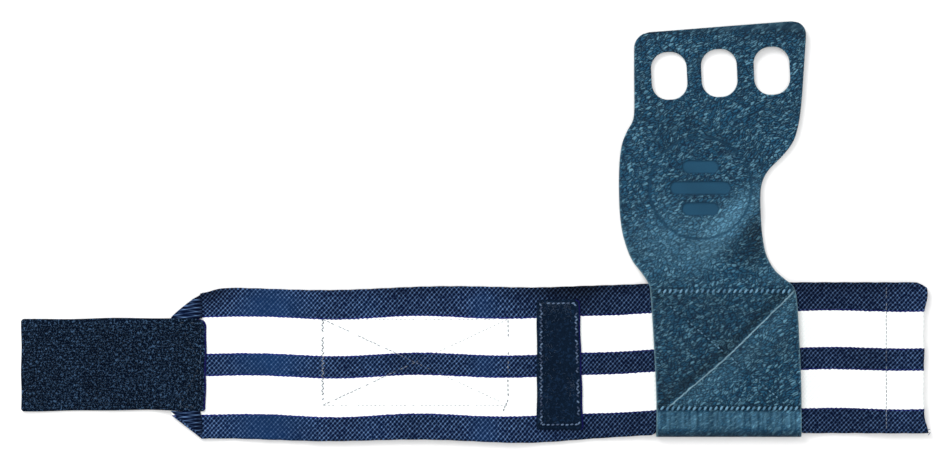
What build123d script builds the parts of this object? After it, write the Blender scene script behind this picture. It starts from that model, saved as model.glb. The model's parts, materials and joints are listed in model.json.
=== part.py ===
from build123d import *
import os

# Hand grip: a palm leather with three finger holes, stitched to a wide woven elastic
# wrist wrap that closes with a hook tab on a loop patch.
# Frame: +X along the wrap, +Y from the wrist to the fingers, +Z up, away from the surface
# it lies on.  The origin is under the middle of the wrist leather.  Millimetres.

# ---- driving dimensions -------------------------------------------------------------
BAND_WIDTH = 75.0          # woven elastic, three inch webbing
BAND_THICK = 1.2
UNDER_THICK = 1.2          # loop patch, back flap and folded hem, all under the band
LIFT = 0.1                 # clearance between the band and what is under it
LEATHER_THICK = 1.6
TAPE_THICK = 1.0           # loop tape of the cross strip
TAB_THICK = 1.4            # hook tape with its backing
TAB_LIFT = 0.05            # clearance between the band's end and the tab sewn on it
HINGE_GAP = 0.4            # slit between neighbouring stretches of the wrap

BAND_RIGHT = 99.5
BAND_LEFT = -277.0
TAB_LEFT = -352.0
TAB_RIGHT = -260.5
TAB_LOW, TAB_HIGH = -25.0, 20.5
LEFT_HINGES = [-41.0, -69.0, -102.0, -135.0, -168.0, -204.0, -232.0, -256.0]
TAB_HINGES = [-280.0, -304.0, -328.0]
TAB_RAMP_FOOT = -288.0     # where the tab has come down off the band's end
RIGHT_HINGES = [41.0, 70.0]

PATCH_LEFT, PATCH_RIGHT = -203.5, -107.0   # loop patch on the reverse
PATCH_LOW, PATCH_HIGH = -25.0, 22.0
STRIP_LEFT, STRIP_RIGHT = -94.5, -72.5     # loop tape across the band
STRIP_LOW, STRIP_HIGH = -34.5, 30.0
HEM_LEFT = 79.5
FOLD_SIDE = 15.0                           # how far in from the band's end each corner folds

WRIST_TOP = 37.9                           # where the wrist leather meets the palm
PALM_GAP = 0.8                             # bare strip between the two leathers, where the palm folds
FLAP_TOP = 37.0                            # upper edge of the leather that is folded up behind the band
ROLL_RADIUS = 1.9                          # outer radius of the roll round the band
ROLL_CLEARANCE = 0.3                       # between the band's lower edge and the roll
SEAM_TOP, SEAM_BOTTOM = 34.5, -23.8        # the two seams across the wrist leather
SEAM_LEFT, SEAM_RIGHT = -34.0, 32.5

HOLE_WIDTH, HOLE_LENGTH, HOLE_CORNER = 18.0, 24.0, 8.2
HOLE_CENTRES = [(-28.5, 142.0), (-3.5, 143.4), (22.7, 144.5)]
HOLE_TURN = 2.8                            # degrees, along the slanting finger end
MARK_CENTRE, MARK_RADIUS = (-13.0, 86.0), 26.0
MARK_LINE, MARK_DEPTH = 1.8, 0.3
BAR_LENGTH, BAR_WIDTH, BAR_PITCH = 26.0, 4.5, 9.0

STITCH_WIDTH, STITCH_THICK = 0.8, 0.3
SEAM_PITCH = 2.7
TAPE_PITCH = 2.5

HALF_BAND = BAND_WIDTH / 2
BAND_Z = UNDER_THICK + LIFT                # underside of the band where it is backed
LEATHER_Z = BAND_Z + BAND_THICK + LIFT     # underside of the wrist leather
WRIST_Z = LEATHER_Z + LEATHER_THICK        # top face of the wrist leather
TAB_OVER = BAND_THICK + TAB_LIFT           # underside of the tab on the band's end


def rest_height(x):
    """Height of the band's underside: it drapes to the surface between its backings."""
    lie = [(TAB_LEFT, 0), (-216, 0), (-205, BAND_Z), (-106, BAND_Z), (-99, 0), (-48, 0),
           (-42, BAND_Z), (42, BAND_Z), (48, 0), (71, 0), (HEM_LEFT - 1, BAND_Z),
           (BAND_RIGHT, BAND_Z)]
    for (x0, z0), (x1, z1) in zip(lie, lie[1:]):
        if x <= x1:
            return z0 + (z1 - z0) * (x - x0) / (x1 - x0)
    return BAND_Z


def bends_between(x0, x1):
    """The places between x0 and x1 where the draped band changes slope."""
    knees = [-216, -205, -106, -99, -48, -42, 42, 48, 71, HEM_LEFT - 1]
    return [x for x in knees if x0 < x < x1]


def band_face(x):
    """Height of the band's top face."""
    return rest_height(x) + BAND_THICK


def strip_face(x):
    """Height of the top face of the tape across the band."""
    return rest_height(x) + BAND_THICK + TAPE_THICK


def tab_face(x):
    """Height of the hook tab's top face where it is sewn on."""
    return TAB_OVER + TAB_THICK


def wrist_face(x):
    """Height of the wrist leather's top face."""
    return WRIST_Z


def save(piece, name):
    """Labels a finished piece and writes it to its own file."""
    piece.part.label = name
    export_step(piece.part, f"parts/{name}.step")


def draped_strip(name, x0, x1, y0, y1, above, thick):
    """A stretch of flat tape that follows the draped band, `above` its underside."""
    stations = [x0] + bends_between(x0, x1) + [x1]
    lower = [(x, rest_height(x) + above) for x in stations]
    upper = [(x, z + thick) for x, z in reversed(lower)]
    with BuildPart() as strip:
        # Plane.XZ faces -Y, so the sketch stands at the low edge and grows towards +Y
        with BuildSketch(Plane.XZ.offset(-y0)):
            with BuildLine():
                Polyline(*lower, *upper, close=True)
            make_face()
        extrude(amount=-(y1 - y0))
    save(strip, name)


def stitch_run(start, end, pitch):
    """Centres and angle of the stitches of one straight seam."""
    line = Vector(*end) - Vector(*start)
    count = max(2, round(line.length / pitch))
    centres = [Vector(*start) + line * ((i + 0.5) / count) for i in range(count)]
    angle = Axis.X.direction.get_signed_angle(line, Vector(0, 0, 1))
    return centres, angle


def stitching(name, seams, pitch, height):
    """Stitches of several straight seams, one small solid each, lying at `height`(x)."""
    with BuildPart() as thread:
        for start, end in seams:
            centres, angle = stitch_run(start, end, pitch)
            for c in centres:
                with Locations(Location((c.X, c.Y, height(c.X)), (0, 0, angle))):
                    Box(pitch * 0.7, STITCH_WIDTH, STITCH_THICK,
                        align=(Align.CENTER, Align.CENTER, Align.MIN))
    save(thread, name)


def box_seams(x0, x1, y0, y1):
    """The four sides of a stitched rectangle."""
    return [((x0, y0), (x1, y0)), ((x1, y0), (x1, y1)), ((x1, y1), (x0, y1)), ((x0, y1), (x0, y0))]


os.makedirs("parts", exist_ok=True)

# ---- elastic wrist band, one stretch between each pair of fold lines -------------------
slit = HINGE_GAP / 2
draped_strip("band_wrist", LEFT_HINGES[0] + slit, RIGHT_HINGES[0] - slit,
             -HALF_BAND, HALF_BAND, 0, BAND_THICK)
for i, (outer, inner) in enumerate(zip(LEFT_HINGES[1:], LEFT_HINGES), start=1):
    draped_strip(f"band_left_{i}", outer + slit, inner - slit, -HALF_BAND, HALF_BAND, 0, BAND_THICK)
draped_strip("band_right_1", RIGHT_HINGES[0] + slit, RIGHT_HINGES[1] - slit,
             -HALF_BAND, HALF_BAND, 0, BAND_THICK)
draped_strip("band_right_2", RIGHT_HINGES[1] + slit, BAND_RIGHT, -HALF_BAND, HALF_BAND, 0, BAND_THICK)

# ---- hem turned under at the right end --------------------------------------------------
with BuildPart() as hem:
    with BuildSketch():
        with Locations(((HEM_LEFT + BAND_RIGHT) / 2, 0)):
            Rectangle(BAND_RIGHT - HEM_LEFT, BAND_WIDTH - 1)
    extrude(amount=UNDER_THICK)
save(hem, "hem_fold")
stitching("hem_stitches", [((HEM_LEFT + 1, -HALF_BAND + 2), (HEM_LEFT + 1, HALF_BAND - 2))],
          SEAM_PITCH, band_face)

# ---- loop patch on the reverse, and its stitching through the band ----------------------
patch_edges = [PATCH_LEFT, LEFT_HINGES[4], LEFT_HINGES[3], PATCH_RIGHT]
for i, (x0, x1) in enumerate(zip(patch_edges, patch_edges[1:])):
    piece_left = x0 + (slit if i else 0)
    piece_right = x1 - (slit if i < 2 else 0)
    with BuildPart() as patch:
        with BuildSketch():
            with Locations(((piece_left + piece_right) / 2, (PATCH_LOW + PATCH_HIGH) / 2)):
                Rectangle(piece_right - piece_left, PATCH_HIGH - PATCH_LOW)
        extrude(amount=UNDER_THICK)
    save(patch, f"loop_patch_{3 - i}")

seam_low, seam_high = PATCH_LOW + 2.5, PATCH_HIGH - 2.5
stitching("patch_stitches_1",
          [((PATCH_RIGHT - 3, seam_low), (PATCH_RIGHT - 3, seam_high)),
           ((PATCH_RIGHT - 25, seam_low), (PATCH_RIGHT - 4, seam_low)),
           ((PATCH_RIGHT - 25, seam_high), (PATCH_RIGHT - 4, seam_high))],
          TAPE_PITCH, band_face)
stitching("patch_stitches_2",
          [((-166, seam_low), (-137, seam_low)), ((-166, seam_high), (-137, seam_high))],
          TAPE_PITCH, band_face)
stitching("patch_stitches_3",
          [((PATCH_LEFT + 3, seam_low), (PATCH_LEFT + 3, seam_high)),
           ((PATCH_LEFT + 4, seam_low), (-170, seam_low)),
           ((PATCH_LEFT + 4, seam_high), (-170, seam_high))],
          TAPE_PITCH, band_face)

# ---- loop tape across the band ----------------------------------------------------------
draped_strip("cross_strip", STRIP_LEFT, STRIP_RIGHT, STRIP_LOW, STRIP_HIGH, BAND_THICK, TAPE_THICK)
stitching("strip_stitches",
          box_seams(STRIP_LEFT + 1.8, STRIP_RIGHT - 1.8, STRIP_LOW + 1.8, STRIP_HIGH - 1.8),
          TAPE_PITCH, strip_face)

# ---- the band's left end: corners folded over under the hook tab ------------------------
fold_line_x = BAND_LEFT + FOLD_SIDE
with BuildPart() as band_end:
    with BuildSketch():
        with BuildLine():
            Polyline((LEFT_HINGES[-1] - slit, -HALF_BAND), (LEFT_HINGES[-1] - slit, HALF_BAND),
                     (fold_line_x, HALF_BAND), (BAND_LEFT, TAB_HIGH + 0.5),
                     (BAND_LEFT, TAB_LOW - 0.5), (fold_line_x, -HALF_BAND), close=True)
        make_face()
    extrude(amount=BAND_THICK)
save(band_end, "band_end")

for name, band_edge, tab_edge in (("corner_fold_upper", HALF_BAND, TAB_HIGH + 0.5),
                                  ("corner_fold_lower", -HALF_BAND, TAB_LOW - 0.5)):
    with BuildPart() as fold:
        with BuildSketch(Plane.XY.offset(BAND_THICK)):
            with BuildLine():
                Polyline((BAND_LEFT, tab_edge), (fold_line_x, band_edge), (fold_line_x, tab_edge),
                         close=True)
            make_face()
        extrude(amount=BAND_THICK)
    save(fold, name)

# ---- hook tab ----------------------------------------------------------------------------
with BuildPart() as tab_root:
    with BuildSketch(Plane.XY.offset(TAB_OVER)):
        with Locations(((TAB_RIGHT + TAB_HINGES[0] + slit) / 2, (TAB_LOW + TAB_HIGH) / 2)):
            Rectangle(TAB_RIGHT - TAB_HINGES[0] - slit, TAB_HIGH - TAB_LOW)
    extrude(amount=TAB_THICK)
    fillet(tab_root.edges().filter_by(Axis.Z).group_by(Axis.X)[-1], radius=3.0)
save(tab_root, "hook_tab_1")

with BuildPart() as tab_ramp:
    with BuildSketch(Plane.XZ.offset(-TAB_LOW)):
        with BuildLine():
            Polyline((TAB_HINGES[0] - slit, TAB_OVER), (TAB_HINGES[0] - slit, TAB_OVER + TAB_THICK),
                     (TAB_RAMP_FOOT, TAB_THICK), (TAB_HINGES[1] + slit, TAB_THICK),
                     (TAB_HINGES[1] + slit, 0), (TAB_RAMP_FOOT, 0), close=True)
        make_face()
    extrude(amount=-(TAB_HIGH - TAB_LOW))
save(tab_ramp, "hook_tab_2")

for name, x0, x1 in (("hook_tab_3", TAB_HINGES[2] + slit, TAB_HINGES[1] - slit),
                     ("hook_tab_4", TAB_LEFT, TAB_HINGES[2] - slit)):
    with BuildPart() as tab:
        with BuildSketch():
            with Locations(((x0 + x1) / 2, (TAB_LOW + TAB_HIGH) / 2)):
                Rectangle(x1 - x0, TAB_HIGH - TAB_LOW)
        extrude(amount=TAB_THICK)
    save(tab, name)
stitching("tab_stitches",
          [((TAB_RIGHT - 2, TAB_LOW + 3), (TAB_RIGHT - 2, TAB_HIGH - 3)),
           ((TAB_RIGHT - 17, TAB_LOW + 2), (TAB_RIGHT - 4, TAB_LOW + 2)),
           ((TAB_RIGHT - 17, TAB_HIGH - 2), (TAB_RIGHT - 4, TAB_HIGH - 2))],
          TAPE_PITCH, tab_face)

# ---- wrist leather: front panel, roll round the band's lower edge, back panel ------------
roll_y = -HALF_BAND - ROLL_CLEARANCE       # where the roll starts to turn
roll_z = (LEATHER_Z + UNDER_THICK) / 2
roll_in = (LEATHER_Z - UNDER_THICK) / 2
with BuildPart() as wrist_leather:
    with BuildSketch(Plane.YZ.offset(-38)):
        with BuildLine():
            Line((WRIST_TOP, LEATHER_Z), (roll_y, LEATHER_Z))
            ThreePointArc((roll_y, LEATHER_Z), (roll_y - roll_in, roll_z), (roll_y, UNDER_THICK))
            Polyline((roll_y, UNDER_THICK), (FLAP_TOP, UNDER_THICK), (FLAP_TOP, 0), (roll_y, 0))
            ThreePointArc((roll_y, 0), (roll_y - ROLL_RADIUS, WRIST_Z / 2), (roll_y, WRIST_Z))
            Polyline((roll_y, WRIST_Z), (WRIST_TOP, WRIST_Z), (WRIST_TOP, LEATHER_Z))
        make_face()
    extrude(amount=76)
    with BuildSketch():                    # the panel widens a little towards its lower right
        with BuildLine():
            Polyline((-38, WRIST_TOP), (-35, -HALF_BAND - 4), (37.5, -HALF_BAND - 4),
                     (34.5, WRIST_TOP), close=True)
        make_face()
    extrude(amount=WRIST_Z + 1, mode=Mode.INTERSECT)
save(wrist_leather, "wrist_leather")

# ---- palm leather: outline with three finger holes, sloping down from the wrist panel ----
with BuildPart() as palm_leather:
    with BuildSketch() as palm_outline:
        with BuildLine():
            neck_left = (-38.0, WRIST_TOP + PALM_GAP)
            neck_right = (34.5, WRIST_TOP + PALM_GAP)
            Line(neck_right, neck_left)
            Spline(neck_left, (-47, 50), (-52, 65), (-53.6, 86), (-51.2, 113), (-46.2, 126))
            Line((-46.2, 126), (-46.0, 155))
            top_left = JernArc(start=(-46.0, 155), tangent=(0, 1), radius=8, arc_size=-85.7)
            top_right = JernArc(start=(39.5, 159.5), tangent=(0, 1), radius=8, arc_size=94.3)
            Line(top_left @ 1, top_right @ 1)
            Line((39.5, 159.5), (39.2, 150))
            Spline((39.2, 150), (37, 127), (33, 107), (21.5, 95), (17, 80), (18.5, 59),
                   (24.5, 44), neck_right)
        make_face()
        with Locations(*[Location((x, y, 0), (0, 0, HOLE_TURN)) for x, y in HOLE_CENTRES]):
            RectangleRounded(HOLE_WIDTH, HOLE_LENGTH, HOLE_CORNER, mode=Mode.SUBTRACT)
    extrude(amount=WRIST_Z)
    with BuildSketch(Plane.YZ.offset(-60)):
        with BuildLine():
            start_y = WRIST_TOP + PALM_GAP
            Polyline((start_y, LEATHER_Z), (start_y, WRIST_Z), (41.0, WRIST_Z), (50.0, LEATHER_THICK),
                     (175, LEATHER_THICK), (175, 0), (50.0, 0), (41.0, LEATHER_Z), close=True)
        make_face()
    extrude(amount=110, mode=Mode.INTERSECT)
    with BuildSketch(Plane.XY.offset(LEATHER_THICK)):      # plain pressed ring with three bars
        with Locations(MARK_CENTRE):
            Circle(MARK_RADIUS)
            Circle(MARK_RADIUS - MARK_LINE, mode=Mode.SUBTRACT)
            with GridLocations(0, BAR_PITCH, 1, 3):
                SlotOverall(BAR_LENGTH, BAR_WIDTH)
    extrude(amount=-MARK_DEPTH, mode=Mode.SUBTRACT)
save(palm_leather, "palm_leather")

# ---- stitching through the wrist leather ---------------------------------------------------
stitching("top_seam", [((SEAM_LEFT, SEAM_TOP), (SEAM_RIGHT, SEAM_TOP))], SEAM_PITCH, wrist_face)
stitching("bottom_seam", [((SEAM_LEFT, SEAM_BOTTOM), (SEAM_RIGHT + 2, SEAM_BOTTOM))],
          SEAM_PITCH, wrist_face)
stitching("cross_stitches",
          [((SEAM_LEFT + 1, SEAM_TOP - 3), (-2, 8.5)), ((2, 5.5), (SEAM_RIGHT + 1, SEAM_BOTTOM + 3)),
           ((SEAM_LEFT + 2, SEAM_BOTTOM + 3), (SEAM_RIGHT - 1, SEAM_TOP - 3))],
          SEAM_PITCH, wrist_face)
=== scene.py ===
import json
import math
import random

import bmesh
import bpy
from mathutils import Matrix, Vector

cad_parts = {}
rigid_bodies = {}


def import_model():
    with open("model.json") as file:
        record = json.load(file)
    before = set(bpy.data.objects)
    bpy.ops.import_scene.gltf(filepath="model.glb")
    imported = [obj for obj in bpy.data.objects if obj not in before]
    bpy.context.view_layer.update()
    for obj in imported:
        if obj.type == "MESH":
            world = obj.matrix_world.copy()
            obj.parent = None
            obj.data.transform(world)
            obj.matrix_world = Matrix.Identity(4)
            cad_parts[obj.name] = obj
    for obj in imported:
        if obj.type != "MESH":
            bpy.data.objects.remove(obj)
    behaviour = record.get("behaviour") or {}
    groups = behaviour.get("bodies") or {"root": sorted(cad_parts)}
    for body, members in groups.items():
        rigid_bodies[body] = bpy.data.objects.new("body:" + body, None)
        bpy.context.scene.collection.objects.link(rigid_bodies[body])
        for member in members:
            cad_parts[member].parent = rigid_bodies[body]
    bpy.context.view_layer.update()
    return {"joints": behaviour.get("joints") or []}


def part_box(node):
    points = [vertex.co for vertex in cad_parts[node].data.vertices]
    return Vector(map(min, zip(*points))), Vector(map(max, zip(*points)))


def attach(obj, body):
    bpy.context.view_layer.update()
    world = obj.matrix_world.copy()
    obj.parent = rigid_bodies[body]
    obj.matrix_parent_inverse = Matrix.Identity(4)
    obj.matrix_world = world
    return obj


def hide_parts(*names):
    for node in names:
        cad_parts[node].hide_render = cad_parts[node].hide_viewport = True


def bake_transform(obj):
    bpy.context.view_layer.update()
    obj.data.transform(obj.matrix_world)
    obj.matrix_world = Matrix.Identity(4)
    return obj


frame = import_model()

# A gymnastics hand grip lying open.  Everything below is worked out in millimetres, in the
# frame's axes, and turned into metres when a piece is finished.

MM = 0.001


def node_box(name):
    """A node's box in millimetres: ((low x, y, z), (high x, y, z))."""
    low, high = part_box(name)
    return Vector(low) / MM, Vector(high) / MM


# ---- camera, light and floor -------------------------------------------------------------------
VIEW_WIDTH = 472.5                       # what the camera takes in, side to side
VIEW_CENTRE = (-126.75, 64.5)
LENS, SENSOR = 85.0, 36.0
SURROUNDINGS = 0.7                       # strength of the white all round
AIM = (-0.08, 0.05, 0)
# name, place in metres, size in metres, power in watts
SOFTBOXES = (("key_softbox", (-0.8, 1.0, 0.8), 0.7, 15), ("top_softbox", (0.0, 0.0, 1.6), 1.4, 7))


def set_camera():
    """Hangs the camera straight above the middle of the view."""
    data = bpy.data.cameras.new("overhead")
    data.lens, data.sensor_width = LENS, SENSOR
    camera = bpy.data.objects.new("overhead", data)
    camera.location = (VIEW_CENTRE[0] * MM, VIEW_CENTRE[1] * MM, VIEW_WIDTH * MM * LENS / SENSOR)
    bpy.context.collection.objects.link(camera)
    bpy.context.scene.camera = camera


def add_softbox(name, place, size, power):
    """A square area light turned to the middle of the object."""
    data = bpy.data.lights.new(name, "AREA")
    data.energy, data.size = power, size
    lamp = bpy.data.objects.new(name, data)
    lamp.location = place
    lamp.rotation_euler = (Vector(AIM) - Vector(place)).to_track_quat("-Z", "Y").to_euler()
    bpy.context.collection.objects.link(lamp)


def set_studio():
    """White surroundings and the softboxes, shown without a film curve."""
    world = bpy.data.worlds.new("studio")
    world.use_nodes = True
    background = world.node_tree.nodes["Background"]
    background.inputs["Color"].default_value = (1, 1, 1, 1)
    background.inputs["Strength"].default_value = SURROUNDINGS
    bpy.context.scene.world = world
    bpy.context.scene.view_settings.view_transform = "Standard"
    for softbox in SOFTBOXES:
        add_softbox(*softbox)


# ---- shader helpers ----------------------------------------------------------------------------
def wire(tree, value, socket):
    """Links a socket, or sets a plain value, on an input."""
    if isinstance(value, bpy.types.NodeSocket):
        tree.links.new(value, socket)
    else:
        socket.default_value = value


def maths(tree, operation, *values):
    """A Math node's result; values are numbers or sockets."""
    n = tree.nodes.new("ShaderNodeMath")
    n.operation = operation
    for value, socket in zip(values, n.inputs):
        wire(tree, value, socket)
    return n.outputs[0]


def blend_colour(tree, factor, a, b, way="MIX"):
    """Colour a taken towards colour b by factor."""
    n = tree.nodes.new("ShaderNodeMix")
    n.data_type, n.blend_type = "RGBA", way
    wire(tree, factor, n.inputs["Factor"])
    wire(tree, a, n.inputs["A"])
    wire(tree, b, n.inputs["B"])
    return n.outputs["Result"]


def spread(tree, value, low, high, to_low=0.0, to_high=1.0):
    """Maps low..high smoothly on to to_low..to_high."""
    n = tree.nodes.new("ShaderNodeMapRange")
    n.interpolation_type = "SMOOTHSTEP"
    for given, name in ((value, "Value"), (low, "From Min"), (high, "From Max"),
                        (to_low, "To Min"), (to_high, "To Max")):
        wire(tree, given, n.inputs[name])
    return n.outputs["Result"]


def noise(tree, place, scale, detail=2.0, roughness=0.5, distortion=0.0):
    """Noise from 0 to 1; scale is in clumps per millimetre."""
    n = tree.nodes.new("ShaderNodeTexNoise")
    wire(tree, place, n.inputs["Vector"])
    for name, value in (("Scale", scale), ("Detail", detail), ("Roughness", roughness),
                        ("Distortion", distortion)):
        wire(tree, value, n.inputs[name])
    return n.outputs["Fac"]


def stretched(tree, place, scale, turn=0.0):
    """The place, turned about Z and then scaled."""
    n = tree.nodes.new("ShaderNodeMapping")
    n.vector_type = "TEXTURE"
    wire(tree, place, n.inputs["Vector"])
    n.inputs["Rotation"].default_value = (0, 0, math.radians(turn))
    n.inputs["Scale"].default_value = scale
    return n.outputs["Vector"]


def attribute(tree, name):
    """A node that reads one of the piece's own attributes."""
    n = tree.nodes.new("ShaderNodeAttribute")
    n.attribute_name = name
    return n


def separate(tree, vector):
    """A vector split into X, Y and Z."""
    n = tree.nodes.new("ShaderNodeSeparateXYZ")
    tree.links.new(vector, n.inputs[0])
    return n


def new_group(name, inputs, outputs):
    """A node group with named sockets: inputs are (name, type, default), outputs (name, type)."""
    tree = bpy.data.node_groups.new(name, "ShaderNodeTree")
    for label, kind, value in inputs:
        socket = tree.interface.new_socket(label, in_out="INPUT", socket_type=kind)
        if value is not None:
            socket.default_value = value
    for label, kind in outputs:
        tree.interface.new_socket(label, in_out="OUTPUT", socket_type=kind)
    return tree, tree.nodes.new("NodeGroupInput"), tree.nodes.new("NodeGroupOutput")


def use_group(tree, group, **values):
    """Puts a node group in the tree, its inputs wired by name."""
    n = tree.nodes.new("ShaderNodeGroup")
    n.node_tree = group
    for name, value in values.items():
        wire(tree, value, n.inputs[name])
    return n


def woven_net_group():
    """The raised net of slanting threads of a woven elastic; Place is in millimetres."""
    tree, given, out = new_group(
        "woven_net",
        [("Place", "NodeSocketVector", None), ("Along", "NodeSocketFloat", 2.2),
         ("Across", "NodeSocketFloat", 2.4)],
        [("Height", "NodeSocketFloat"), ("Thread", "NodeSocketFloat")])
    split = separate(tree, given.outputs["Place"])
    waver = noise(tree, given.outputs["Place"], 0.35, 1.0)
    along = maths(tree, "DIVIDE", split.outputs["X"], given.outputs["Along"])
    along = maths(tree, "ADD", along, maths(tree, "MULTIPLY", waver, 0.5))
    across = maths(tree, "DIVIDE", split.outputs["Y"], given.outputs["Across"])
    ridges = []
    for way, sharp in (("SUBTRACT", 4.6), ("ADD", 5.4)):
        turn = maths(tree, "MULTIPLY", maths(tree, way, along, across), 2 * math.pi)
        wave = maths(tree, "MULTIPLY_ADD", maths(tree, "COSINE", turn), 0.5, 0.5)
        ridges.append(maths(tree, "POWER", wave, sharp))
    main, other = ridges
    height = maths(tree, "MAXIMUM", main, maths(tree, "MULTIPLY", other, 0.6))
    # single threads catch the light unevenly
    sheen_and_wear = spread(tree, noise(tree, given.outputs["Place"], 0.7, 3.0, 0.7), 0.3, 0.62)
    crossing = maths(tree, "MULTIPLY", main, other)
    thread = maths(tree, "MULTIPLY_ADD", height, 0.42, crossing)
    tree.links.new(height, out.inputs["Height"])
    tree.links.new(maths(tree, "MULTIPLY", thread, sheen_and_wear), out.inputs["Thread"])
    return tree


# the leather's two sizes of cell: slant in degrees, size, share of the height, width of the creases
PEBBLES = ((33, (2.5, 0.95, 1.0), 0.72, 0.3), (22, (1.2, 0.5, 1.0), 0.28, 0.26))


def cells(tree, place, feature):
    """A Voronoi texture of unit cells."""
    n = tree.nodes.new("ShaderNodeTexVoronoi")
    n.feature = feature
    n.inputs["Scale"].default_value = 1.0
    wire(tree, place, n.inputs["Vector"])
    return n


def pebble_group():
    """Pebbled grain: flat-topped cells drawn out on the slant, thin creases between them. Place is in
    millimetres; Tone is each cell's own shade."""
    tree, given, out = new_group(
        "pebbled_grain",
        [("Place", "NodeSocketVector", None)],
        [("Height", "NodeSocketFloat"), ("Tone", "NodeSocketFloat")])
    sway = tree.nodes.new("ShaderNodeTexNoise")
    sway.inputs["Scale"].default_value = 0.05
    sway.inputs["Detail"].default_value = 2.0
    tree.links.new(given.outputs["Place"], sway.inputs["Vector"])
    push = tree.nodes.new("ShaderNodeVectorMath")
    push.operation = "MULTIPLY_ADD"
    tree.links.new(sway.outputs["Color"], push.inputs[0])
    push.inputs[1].default_value = (7, 7, 0)
    tree.links.new(given.outputs["Place"], push.inputs[2])
    heights = []
    for turn, size, weight, crease in PEBBLES:
        place = stretched(tree, push.outputs[0], size, turn)
        edges = cells(tree, place, "DISTANCE_TO_EDGE").outputs["Distance"]
        heights.append(maths(tree, "MULTIPLY", spread(tree, edges, 0.0, crease), weight))
    turn, size = PEBBLES[0][:2]
    tones = cells(tree, stretched(tree, push.outputs[0], size, turn), "F1").outputs["Color"]
    tree.links.new(tones, out.inputs["Tone"])
    tree.links.new(maths(tree, "ADD", *heights), out.inputs["Height"])
    return tree


def mottle_group():
    """Slow uneven shading, about 1; Place is in millimetres."""
    tree, given, out = new_group(
        "mottle",
        [("Place", "NodeSocketVector", None), ("Size", "NodeSocketFloat", 20.0),
         ("Amount", "NodeSocketFloat", 0.2)],
        [("Factor", "NodeSocketFloat")])
    scale = maths(tree, "DIVIDE", 1.0, given.outputs["Size"])
    cloud = noise(tree, given.outputs["Place"], scale, 3.0)
    swing = maths(tree, "MULTIPLY", maths(tree, "SUBTRACT", cloud, 0.5), given.outputs["Amount"])
    tree.links.new(maths(tree, "MULTIPLY_ADD", swing, 4.0, 1.0), out.inputs["Factor"])
    return tree


def rgb(red, green, blue):
    """A screen colour from 0 to 255 as the linear colour that a shader takes."""
    return tuple(((c / 255 + 0.055) / 1.055) ** 2.4 if c > 10 else c / 255 / 12.92
                 for c in (red, green, blue)) + (1.0,)


def new_material(name):
    """A material with its Principled shader, ready for wiring."""
    material = bpy.data.materials.new(name)
    material.use_nodes = True
    return material, material.node_tree, material.node_tree.nodes["Principled BSDF"]


def bump(tree, shader, height, depth, strength=1.0):
    """Wires a height from 0 to 1 to the shader's normal; depth is in millimetres."""
    n = tree.nodes.new("ShaderNodeBump")
    n.inputs["Distance"].default_value = depth * MM
    n.inputs["Strength"].default_value = strength
    wire(tree, height, n.inputs["Height"])
    tree.links.new(n.outputs["Normal"], shader.inputs["Normal"])


def times(tree, colour, factor):
    """A colour scaled by a number."""
    grey = tree.nodes.new("ShaderNodeCombineColor")
    for socket in grey.inputs[:3]:
        wire(tree, factor, socket)
    return blend_colour(tree, 1.0, colour, grey.outputs[0], "MULTIPLY")


# ---- materials ---------------------------------------------------------------------------------
# centres and half widths of the two white stripes, measured across the band
WHITE_STRIPES = ((14.6, 9.1), (-15.3, 9.6))


def elastic_material(groups):
    """Navy webbing with two white stripes; its tint attribute is above 0 where a sheen is painted in,
    bluer and with fainter threads, and below 0 where the cloth is painted darker."""
    material, tree, shader = new_material("woven_elastic")
    place = attribute(tree, "cloth").outputs["Vector"]
    tint = attribute(tree, "tint").outputs["Fac"]
    split = separate(tree, place)
    net = use_group(tree, groups["net"], Place=place)
    # the threads at a stripe's edge step in and out with the weave
    step = maths(tree, "MULTIPLY_ADD", noise(tree, place, 0.6, 2.0), 0.7,
                 maths(tree, "MULTIPLY", maths(tree, "PINGPONG", split.outputs["X"], 1.1), 0.22))
    sway = maths(tree, "SINE", maths(tree, "MULTIPLY", split.outputs["X"], 0.09))
    sway = maths(tree, "MULTIPLY", sway, 0.35)
    level = maths(tree, "MULTIPLY_ADD", step, 0.9, maths(tree, "ADD", split.outputs["Y"], sway))
    white, border = 0.0, 0.0
    for centre, half in WHITE_STRIPES:
        gap = maths(tree, "ABSOLUTE", maths(tree, "SUBTRACT", level, centre))
        gap = maths(tree, "SUBTRACT", gap, half)
        white = maths(tree, "ADD", white, maths(tree, "LESS_THAN", gap, 0.0))
        border = maths(tree, "ADD", border, spread(tree, gap, 0.1, 0.9, 1.0, 0.0))
    # the tint attribute split: above 0 a painted sheen, below 0 painted darkening
    smooth = maths(tree, "MAXIMUM", tint, 0.0)
    dimmed = maths(tree, "MINIMUM", tint, 0.0)
    shade = use_group(tree, groups["mottle"], Place=place, Size=30.0, Amount=0.22)
    navy = blend_colour(tree, net.outputs["Height"], rgb(0, 12, 40), rgb(4, 26, 64))
    # painted sheen: the navy goes bluer and its threads show less
    navy = blend_colour(tree, maths(tree, "MULTIPLY", smooth, 0.8), navy, rgb(18, 50, 92))
    strength = maths(tree, "SUBTRACT", 1.0, maths(tree, "MULTIPLY", smooth, 0.6))
    navy = blend_colour(tree, maths(tree, "MULTIPLY", net.outputs["Thread"], strength), navy,
                        rgb(108, 143, 192))
    navy = blend_colour(tree, maths(tree, "MULTIPLY", border, 0.85), navy, rgb(30, 22, 118))
    # painted darkening: shade at the upper edge beside the folded corner, elsewhere plain darkening
    dim = maths(tree, "MULTIPLY_ADD", dimmed, 0.6, 1.0)
    navy = times(tree, navy, maths(tree, "MULTIPLY", shade.outputs["Factor"], dim))
    pale = blend_colour(tree, net.outputs["Height"], rgb(240, 245, 244), rgb(254, 255, 255))
    colour = blend_colour(tree, white, navy, pale)
    wire(tree, colour, shader.inputs["Base Color"])
    shader.inputs["Roughness"].default_value = 0.8
    shader.inputs["Specular IOR Level"].default_value = 0.04
    bump(tree, shader, net.outputs["Height"], 0.16, 0.8)
    return material


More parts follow.
